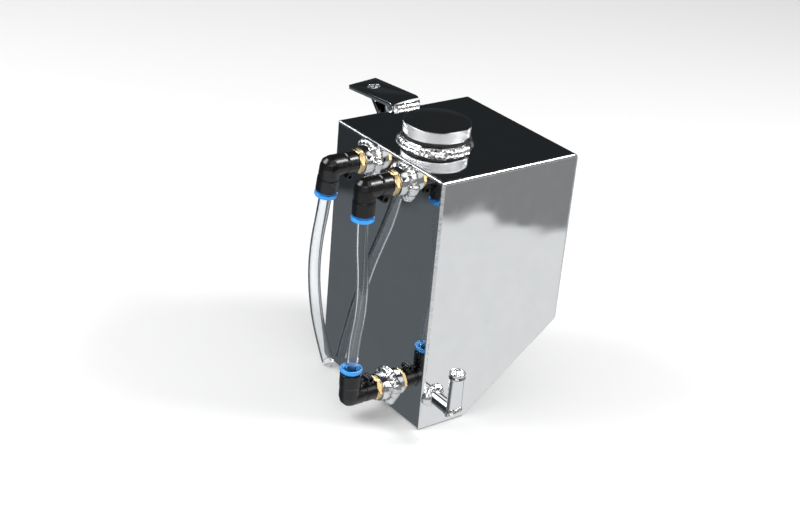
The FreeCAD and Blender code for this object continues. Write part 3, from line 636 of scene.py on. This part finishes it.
def hollow(piece, cutters):
    """Cuts closed shapes out of a piece."""
    for cutter in cutters:
        modifier = piece.modifiers.new("bore", "BOOLEAN")
        modifier.operation = "DIFFERENCE"
        modifier.solver = "EXACT"
        modifier.object = cutter
    settle(piece)
    for cutter in cutters:
        bpy.data.objects.remove(cutter)


def make_elbow(prefix):
    """Moulded elbow: barrel, ball corner, leg, step ring, eyelet and socket."""
    foot = barrel_foot(prefix)
    down = leg_direction(prefix)
    side = down.cross(FRONT).normalized()
    corner = foot + FRONT * ELBOW_REACH
    start = barrel_start(prefix)
    barrel, leg = 6.75 * MM, 7.05 * MM
    leg_step, leg_end = 7.6 * MM, 17.0 * MM
    eye_back, eye_drop, eye_radius = 13.6 * MM, 8.9 * MM, 2.5 * MM
    ball = rod("ball", corner, down, barrel, -barrel, barrel, barrel * 0.999)
    shapes = [
        rod("barrel", foot, FRONT, barrel, start, ELBOW_REACH, 0.3 * MM),
        ball,
        rod("upper_leg", corner, down, barrel, 0, leg_step + 2 * MM, 0.3 * MM),
        rod("leg", corner, down, leg, leg_step, leg_end, 0.45 * MM),
        rod("eyelet", corner - FRONT * eye_back + down * eye_drop, side, eye_radius,
            -3.5 * MM, 3.5 * MM, 0.3 * MM, 32),
    ]
    piece = join_shapes(f"{prefix}_moulded_elbow", shapes, 0.3 * MM, 4)
    groove = ELBOW_REACH - 9.2 * MM
    for vertex in piece.data.vertices:
        along = (vertex.co - foot).dot(FRONT)
        out = vertex.co - foot - FRONT * along
        depth = (vertex.co - corner).dot(down)
        if out.length < barrel * 1.04 and depth < barrel * 1.03:
            pull = max(0, 1 - abs(along - groove) / (1.3 * MM))
            vertex.co -= out.normalized() * 0.9 * MM * min(1, pull * 2.2)
    hollow(piece, [
        rod("stem_room", foot, FRONT, 4.66 * MM, 0, start + 11 * MM, 0.1 * MM),
        rod("tube_room", corner, down, 4.1 * MM, 4.5 * MM, 20 * MM, 0.1 * MM),
        rod("grip_room", corner, down, 5.55 * MM, 5.2 * MM, 20 * MM, 0.1 * MM),
        rod("flow_room", corner, down, 2.7 * MM, -1 * MM, 8 * MM, 0.1 * MM),
        rod("cross_room", foot, FRONT, 2.7 * MM, start, ELBOW_REACH, 0.1 * MM),
        rod("eye_room", corner - FRONT * eye_back + down * eye_drop, side, 1.3 * MM,
            -5 * MM, 5 * MM, 0.1 * MM, 32),
    ])
    stand_in(f"{prefix}_elbow", piece, sharp=45)


def make_collar(prefix):
    """Blue release collar: sleeve, rounded flange and a dished face."""
    foot = barrel_foot(prefix)
    down = leg_direction(prefix)
    corner = foot + FRONT * ELBOW_REACH
    start, flange, end = 9.8 * MM, 18.3 * MM, 20.6 * MM
    bore, sleeve, outer = 4.18 * MM, 5.4 * MM, 7.25 * MM
    soft = 0.45 * MM
    profile = [(bore, start), (sleeve, start), (sleeve, flange), (outer - soft, flange),
               *arc((outer - soft, flange + soft), soft, -90, 0, 4),
               *arc((outer - soft, end - soft), soft, 0, 90, 4),
               (6.1 * MM, end), (5.7 * MM, end - 0.35 * MM), (4.9 * MM, end - 0.45 * MM),
               (bore + 0.15 * MM, end - 0.9 * MM), (bore, end - 1.3 * MM)]
    stand_in(f"{prefix}_collar", revolve(f"{prefix}_release_collar", profile,
                                         axes(corner, down), 80), sharp=40)


# ---------------------------------------------------------------------- tubes

def smooth_route(name, points, samples=14):
    """Points read from a smooth NURBS line through a route's control points."""
    curve = bpy.data.curves.new(name, "CURVE")
    curve.dimensions = "3D"
    spline = curve.splines.new("NURBS")
    spline.points.add(len(points) - 1)
    for point, control in zip(points, spline.points):
        control.co = (*point, 1)
    spline.order_u = 3
    spline.use_endpoint_u = True
    spline.resolution_u = samples
    holder = bpy.data.objects.new(name, curve)
    bpy.context.scene.collection.objects.link(holder)
    line = bpy.data.meshes.new_from_object(
        holder.evaluated_get(bpy.context.evaluated_depsgraph_get()))
    route = [vertex.co.copy() for vertex in line.vertices]
    bpy.data.objects.remove(holder)
    bpy.data.meshes.remove(line)
    return route


def tube_along(name, route, outer, inner, steps=40):
    """A hollow tube along a route, with slightly rounded cut ends."""
    tangents = [(after - before).normalized()
                for before, after in zip([route[0]] + route[:-1], route[1:] + [route[-1]])]
    side = tangents[0].orthogonal().normalized()
    frames = []
    for tangent in tangents:
        side = (side - tangent * side.dot(tangent)).normalized()
        frames.append((side.copy(), tangent.cross(side)))

    def ring(index, radius, shift=0.0):
        across, beside = frames[index]
        base = route[index] + tangents[index] * shift
        return [base + (across * math.cos(turn) + beside * math.sin(turn)) * radius
                for turn in (2 * math.pi * step / steps for step in range(steps))]

    last = len(route) - 1
    ease = 0.12 * MM
    rings = [ring(0, inner), ring(0, outer - ease)]
    rings += [ring(0, outer, ease)] + [ring(index, outer) for index in range(1, last)]
    rings += [ring(last, outer, -ease), ring(last, outer - ease), ring(last, inner)]
    rings += [ring(index, inner) for index in range(last - 1, 0, -1)]
    return loft(name, rings, closed_path=True)


TUBE_RADIUS, TUBE_BORE = 4.0 * MM, 3.0 * MM
TUBE_START = 4.6 * MM

# The overflow tube's straight run below its elbow, and its route from there.
OVERFLOW_STRAIGHT = 30.9 * MM
OVERFLOW_HANG = (
    (-0.0072, 0.0015, -0.0245),
    (-0.0138, 0.0052, -0.0490),
    (-0.0179, 0.0103, -0.0740),
    (-0.0193, 0.0164, -0.0995),
    (-0.0176, 0.0236, -0.1245),
)


def leg_point(prefix, distance):
    """A point on an elbow's leg, a distance from the barrel's axis."""
    return barrel_foot(prefix) + FRONT * ELBOW_REACH + leg_direction(prefix) * distance


def make_tubes():
    start = leg_point("overflow", TUBE_START)
    bend = leg_point("overflow", OVERFLOW_STRAIGHT)
    route = smooth_route("overflow_line",
                         [start, bend] + [bend + Vector(point) for point in OVERFLOW_HANG])
    tube = stand_in("overflow_tube", tube_along("overflow_hose", route, TUBE_RADIUS, TUBE_BORE))

    straight, bow = 34 * MM, RIGHT * 5 * MM
    bottom, top = leg_point("lower_sight", straight), leg_point("upper_sight", straight)
    third = (top - bottom) / 3
    route = smooth_route("sight_line", [
        leg_point("lower_sight", TUBE_START), bottom, bottom + third + bow,
        top - third + bow, top, leg_point("upper_sight", TUBE_START)])
    stand_in("sight_tube", tube_along("sight_hose", route, TUBE_RADIUS, TUBE_BORE))


# --------------------------------------------------------------------- outlet

def make_outlet():
    """Mitred stub and beaded upright, with their welds."""
    low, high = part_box("outlet_upright")
    stub_low, stub_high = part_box("outlet_stub")
    bead_outer = (high.x - low.x) / 2
    axis_x = high.x - bead_outer
    axis_y = (high.y + low.y) / 2
    axis_z = middle("outlet_stub").z
    pipe, bore = (stub_high.y - stub_low.y) / 2, 3.5 * MM
    pipe_z = stub_low.z + pipe
    corner = Vector((axis_x, axis_y, pipe_z))
    top = high.z - pipe_z
    steps = 64
    circle = [(math.cos(2 * math.pi * step / steps), math.sin(2 * math.pi * step / steps))
              for step in range(steps)]

    def stub_ring(radius, along=None):
        """Across the stub at a distance before the corner, or on the mitre."""
        return [corner + Vector((-along if along is not None else radius * up, radius * out,
                                 radius * up))
                for out, up in circle]

    def upright_ring(radius, height=None):
        """Across the upright at a height, or on the mitre."""
        return [corner + Vector((radius * right, radius * out,
                                 height if height is not None else radius * right))
                for out, right in circle]

    reach = axis_x - stub_low.x
    stub = loft("mitred_stub", [stub_ring(bore, reach), stub_ring(pipe, reach),
                                stub_ring(pipe, 6 * MM), stub_ring(pipe), stub_ring(bore),
                                stub_ring(bore, 6 * MM)], closed_path=True)
    stand_in("outlet_stub", stub)

    swell = bead_outer - pipe
    outline = [(pipe, 6 * MM), (pipe, top - 5.6 * MM)]
    outline += [(pipe + swell * math.sin(math.pi * share) ** 1.2, top - (5.6 - 3.4 * share) * MM)
                for share in (0.12, 0.25, 0.38, 0.5, 0.62, 0.75, 0.88)]
    outline += [(pipe + 0.02 * MM, top - 2.1 * MM), (pipe + 0.28 * MM, top - 1.7 * MM),
                (pipe + 0.42 * MM, top - 1.2 * MM), (pipe + 0.38 * MM, top - 0.5 * MM),
                (pipe + 0.05 * MM, top - 0.08 * MM), (pipe - 0.4 * MM, top),
                (bore + 0.35 * MM, top - 0.1 * MM), (bore, top - 0.5 * MM), (bore, 6 * MM)]
    rings = [upright_ring(bore), upright_ring(pipe)]
    rings += [upright_ring(radius, height) for radius, height in outline]
    stand_in("outlet_upright", loft("beaded_upright", rings, closed_path=True), sharp=50)

    count = 160
    turns = [2 * math.pi * step / count for step in range(count)]
    seam = [corner + Vector((pipe * math.cos(t), pipe * math.sin(t), pipe * math.cos(t)))
            for t in turns]
    outwards = [Vector((math.cos(t) * 0.5, math.sin(t), -0.0 + math.cos(t) * 0.5)).normalized()
                for t in turns]
    diagonal = Vector((1, 0, -1)).normalized()
    rings = []
    for index, point in enumerate(seam):
        ring = []
        scale = 0.9 + 0.25 * noise.noise(Vector((index * 0.21, 4, 0)))
        for share in (-1, -0.6, 0, 0.6, 1):
            height = 0.55 * MM * scale * math.cos(share * math.pi / 2)
            ripple = 0.1 * MM * math.sin(index * 2 * math.pi / 9 + share * share * 1.6)
            ring.append(point + diagonal * share * 1.3 * MM + outwards[index] * (height + ripple))
        ring.append(point - outwards[index] * 0.2 * MM)
        rings.append(ring)
    mitre = loft("mitre_bead", rings, closed_path=True)
    for vertex in mitre.data.vertices:
        vertex.co.x = min(vertex.co.x, high.x)
    stand_in("outlet_mitre_weld", mitre, sharp=60)

    weld_low, weld_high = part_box("outlet_base_weld")
    foot = Vector((FAR_CORNER.x, axis_y, pipe_z))
    leg = weld_high.x - weld_low.x
    weld = ring_bead("outlet_bead", foot, RIGHT, pipe, leg, 2.6 * MM, 0.55, 31, 200)
    stand_in("outlet_base_weld", weld, sharp=60)


# ------------------------------------------------------------- shell and bracket

def make_bracket_weld():
    """The bead where the bracket's flange meets the tank's top."""
    low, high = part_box("bracket_weld")
    count = 120
    corners = [Vector((CORNER.x, low.y + (high.y - low.y) * step / (count - 1), FAR_CORNER.z))
               for step in range(count)]
    weld = bead("bracket_bead", corners, [RIGHT] * count, [UP] * count, high.z - low.z,
                2.6 * MM, 0.4, 41, closed=False)
    stand_in("bracket_weld", weld, sharp=60)


def make_rest():
    """Nodes whose own shape is right: rounded edges where they are cut."""
    for node, width in (("mounting_bracket", 0.35 * MM), ("bracket_brace", 0.3 * MM)):
        bevelled_copy(node, width)
    replaced = {name for piece in bpy.context.scene.objects
                for name in piece.get("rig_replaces", [])}
    for node, part in frame["nodes"].items():
        if node in replaced:
            continue
        part.data.materials.clear()
        part.data.materials.append(MATERIALS[SLOT_OF[node]])


# --------------------------------------------------------------------- studio

def make_painted_reflection_dome():
    """Painted reflections for polished metal: a glowing dome that only reflections and refractions
    see, painted as a table, darker walls and soft boxes that give painted highlights.
    """
    mesh = bpy.data.meshes.new("painted_reflection_dome")
    build = bmesh.new()
    bmesh.ops.create_uvsphere(build, u_segments=64, v_segments=32, radius=6)
    build.to_mesh(mesh)
    build.free()
    dome = bpy.data.objects.new("painted_reflection_dome", mesh)
    bpy.context.scene.collection.objects.link(dome)
    material = bpy.data.materials.new("painted_reflection_dome")
    material.use_nodes = True
    tree = material.node_tree
    tree.nodes.clear()
    place = add(tree, "ShaderNodeTexCoord")
    unit = add(tree, "ShaderNodeVectorMath", {0: place.outputs["Object"]}, operation="NORMALIZE")
    way = unit.outputs["Vector"]
    parts = add(tree, "ShaderNodeSeparateXYZ", {"Vector": way})

    def towards(direction, start, end):
        """1 within a cone about a direction, between two cosines."""
        dot = add(tree, "ShaderNodeVectorMath", {0: way, 1: Vector(direction).normalized()},
                  operation="DOT_PRODUCT")
        return softened(tree, dot.outputs["Value"], start, end)

    # Painted reflection: brighter to the right, a painted table below the horizon, painted darker
    # walls above it, darkest overhead.
    rightwards = softened(tree, parts.outputs["X"], -0.45, 0.05)
    painted_table_reflection = mixed(tree, rightwards, 0.13, 0.80)
    painted_wall_reflection = mixed(tree, rightwards, 0.035, 0.25)
    above_painted_table_reflection = softened(tree, parts.outputs["Z"], PAINTED_TABLE_EDGE - 0.004, PAINTED_TABLE_EDGE + 0.004)
    above_painted_wall_reflection = softened(tree, parts.outputs["Z"], 0.05, 0.25)
    light = mixed(tree, above_painted_wall_reflection, mixed(tree, above_painted_table_reflection, painted_table_reflection, painted_wall_reflection), 0.022)
    # Painted highlights: soft boxes that glow in the dome and are seen only in reflections.
    for direction, start, end, strength in PAINTED_HIGHLIGHT_BOXES:
        light = calculate(tree, "ADD", light, calculate(
            tree, "MULTIPLY", towards(direction, start, end), strength))
    # Painted reflection tint: bluish to the left, white to the right.
    painted_reflection_hue = tint(tree, rightwards, (0.82, 0.92, 1.0), (0.98, 0.99, 1.0))
    glow = add(tree, "ShaderNodeEmission", {"Color": painted_reflection_hue, "Strength": light})
    output = add(tree, "ShaderNodeOutputMaterial")
    tree.links.new(glow.outputs["Emission"], output.inputs["Surface"])
    mesh.materials.append(material)
    # Seen only by reflections and refractions, so its glow is painted reflection and lights
    # nothing.
    dome.visible_camera = False
    dome.visible_diffuse = False
    dome.visible_shadow = False
    dome.visible_volume_scatter = False


# Sine of the elevation at which the painted table reflection ends and the painted darker walls
# begin.
PAINTED_TABLE_EDGE = -0.413
# Painted highlights in the dome: direction, cosines at which a soft box fades out and is full,
# strength.
PAINTED_HIGHLIGHT_BOXES = (
    ((-0.70, -0.45, 0.55), 0.93, 0.97, 1.1),
    ((0.44, 0.55, 0.70), 0.90, 0.95, 1.1),
    ((0.60, -0.70, 0.45), 0.93, 0.97, 1.0),
)


def make_floor():
    """A plain pale floor, out to the horizon, that reflections see past to the dome of painted
    reflections.
    """
    floor_level = cad_box[0][2] - 0.0005
    half = 12.0
    corners = [(x, y, floor_level) for x, y in ((-half, -half), (half, -half), (half, half),
                                                (-half, half))]
    floor = mesh_object("floor", corners, [(0, 1, 2, 3)])
    material, shader = new_material("pale_floor")
    shader.inputs["Base Color"].default_value = (0.80, 0.80, 0.80, 1)
    shader.inputs["Roughness"].default_value = 0.6
    tree = material.node_tree
    path = add(tree, "ShaderNodeLightPath")
    mirrored = calculate(tree, "GREATER_THAN", path.outputs["Glossy Depth"], 0.5)
    blend = tree.nodes.new("ShaderNodeMixShader")
    tree.links.new(mirrored, blend.inputs[0])
    tree.links.new(shader.outputs["BSDF"], blend.inputs[1])
    tree.links.new(add(tree, "ShaderNodeBsdfTransparent").outputs["BSDF"], blend.inputs[2])
    tree.links.new(blend.outputs[0], tree.nodes["Material Output"].inputs["Surface"])
    floor.data.materials.append(material)
    floor.visible_glossy = False


def make_lamp(name, aim, direction, distance, size, power):
    data = bpy.data.lights.new(name, "AREA")
    data.shape = "DISK"
    data.size = size
    data.energy = power
    lamp = bpy.data.objects.new(name, data)
    bpy.context.scene.collection.objects.link(lamp)
    way = Vector(direction).normalized()
    lamp.matrix_world = axes(aim + way * distance, way)


def make_studio():
    world = bpy.data.worlds.new("room")
    bpy.context.scene.world = world
    world.use_nodes = True
    tree = world.node_tree
    background = tree.nodes["Background"]
    background.inputs["Color"].default_value = (1, 1, 1, 1)
    background.inputs["Strength"].default_value = 0.62
    make_floor()
    make_painted_reflection_dome()
    aim = (CORNER + FAR_CORNER) / 2
    make_lamp("key", aim, (-0.45, -0.65, 0.75), 1.5, 0.9, 14)
    make_lamp("fill", aim, (0.8, -0.35, 0.55), 1.8, 1.2, 9)
    make_lamp("rim", aim, (0.44, 0.55, 0.70), 1.2, 0.35, 9)


def make_camera():
    """Above and to the right of the front, a little rolled, with a long lens."""
    azimuth, elevation, roll = math.radians(51.71), math.radians(26.535), math.radians(5.107)
    eye = CORNER + Vector((0.7454, -0.5283, 0.5270))
    forward = Vector((-math.sin(azimuth) * math.cos(elevation),
                      math.cos(azimuth) * math.cos(elevation), -math.sin(elevation)))
    level = forward.cross(UP).normalized()
    above = level.cross(forward)
    right = level * math.cos(roll) + above * math.sin(roll)
    top = above * math.cos(roll) - level * math.sin(roll)
    data = bpy.data.cameras.new("camera")
    data.lens = 69.54
    data.sensor_width = 36
    camera = bpy.data.objects.new("camera", data)
    bpy.context.scene.collection.objects.link(camera)
    turn = Matrix((right, top, -forward)).transposed().to_4x4()
    turn.translation = eye
    camera.matrix_world = turn
    bpy.context.scene.camera = camera


# ------------------------------------------------------------------ the whole

make_camera()
make_studio()
make_tubes()
make_cap()
make_gasket()
make_neck()
for number, prefix in enumerate(FITTINGS):
    make_bung(prefix, 20 + number)
    make_stem(prefix)
    make_elbow(prefix)
    make_collar(prefix)
make_outlet()
make_bracket_weld()
make_rest()

bpy.context.scene.view_settings.view_transform = "Standard"
